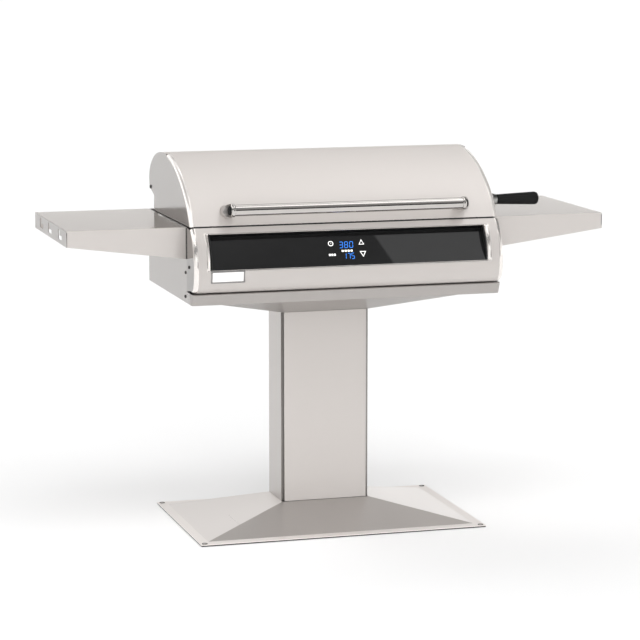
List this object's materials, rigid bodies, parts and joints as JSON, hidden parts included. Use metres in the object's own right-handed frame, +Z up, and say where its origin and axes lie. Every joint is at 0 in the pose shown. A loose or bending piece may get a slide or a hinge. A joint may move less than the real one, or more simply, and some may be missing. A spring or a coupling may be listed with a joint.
{
  "type": "electric pedestal barbecue grill",
  "caption": "Electric barbecue grill with a curved lift-up hood, a sloped control panel with a dark glass display and two side shelves, on a column with a wide anchored foot.",
  "frame": {"origin": "centre of the rectangular foot, on the ground", "axes": "+Z up, -Y towards the cook at the front, +X to the right seen from the front"},
  "size_m": [1.538, 0.5984, 1.057],
  "materials": {
    "stainless_sheet": "fine brushed, satin",
    "stainless_inner": "mill finish",
    "galvanised_plate": "galvanised",
    "zinc_bolt": "zinc plated",
    "dark_screw": "black oxide",
    "cooking_rod": "smooth drawn rod",
    "element_sheath": "dark oxidised sheath",
    "ceramic": "unglazed ceramic",
    "black_glass": "opaque black, glossy",
    "black_plastic": "fine matte",
    "grip_plastic": "ribbed, heat resistant",
    "circuit_board": "solder resist",
    "satin_plate": "bead blasted, blank",
    "polished_tube": "polished stainless",
    "cast_ferrule": "cast, lightly mottled",
    "rubber": "silicone"
  },
  "bodies": {
    "root": {"base_plate": "galvanised_plate", "base_skirt": "stainless_sheet", "column_shell": "stainless_sheet", "column_front_panel": "stainless_sheet", "inner_post_left": "galvanised_plate", "inner_post_right": "galvanised_plate", "foot_bolts": "zinc_bolt", "saddle_bolts": "zinc_bolt", "support_hopper": "stainless_sheet", "saddle_plate": "galvanised_plate", "body_floor": "stainless_inner", "side_panel_left": "stainless_sheet", "side_panel_right": "stainless_sheet", "rear_panel": "stainless_sheet", "front_fascia": "stainless_sheet", "firebox_tub": "stainless_inner", "front_rail": "stainless_inner", "grid_rests": "stainless_inner", "cooking_grid_left": "cooking_rod", "cooking_grid_right": "cooking_rod", "heating_element_left": "element_sheath", "heating_element_right": "element_sheath", "element_supports": "stainless_inner", "element_bushings": "ceramic", "temperature_sensor": "cooking_rod", "tray_rails": "stainless_inner", "control_bezel": "stainless_sheet", "bezel_cheek_left": "stainless_sheet", "bezel_cheek_right": "stainless_sheet", "display_glass": "black_glass", "display_housing": "black_plastic", "display_board": "circuit_board", "control_box": "galvanised_plate", "power_board": "circuit_board", "badge_plate": "satin_plate", "hinge_bracket_left": "stainless_inner", "hinge_bracket_right": "stainless_inner", "hinge_pins": "dark_screw", "hood_bumpers": "rubber", "shelf_left": "stainless_sheet", "shelf_right": "stainless_sheet", "shelf_bolts": "dark_screw", "side_screws": "dark_screw", "cord_gland": "black_plastic"},
    "hood": {"hood_front_skin": "stainless_sheet", "hood_rear_skin": "stainless_sheet", "hood_end_left": "stainless_sheet", "hood_end_right": "stainless_sheet", "hood_lining": "stainless_inner", "handle_bar": "polished_tube", "handle_ring_left": "polished_tube", "handle_ring_right": "polished_tube", "handle_plugs": "black_plastic", "handle_post_left": "polished_tube", "handle_post_right": "polished_tube", "handle_screws": "zinc_bolt", "grip_ferrule": "cast_ferrule", "side_grip": "grip_plastic", "grip_stud": "zinc_bolt"},
    "tray": {"drip_tray": "stainless_inner"}
  },
  "joints": [
    {"name": "hood_hinge", "type": "hinge", "parent": "root", "child": "hood", "pos_m": [0, 0.2, 0.945], "axis": [-1, 0, 0], "range_deg": [0, 85]},
    {"name": "drip_tray_slide", "type": "slide", "parent": "root", "child": "tray", "axis": [0, 1, 0], "range_m": [0, 0.32]}
  ]
}
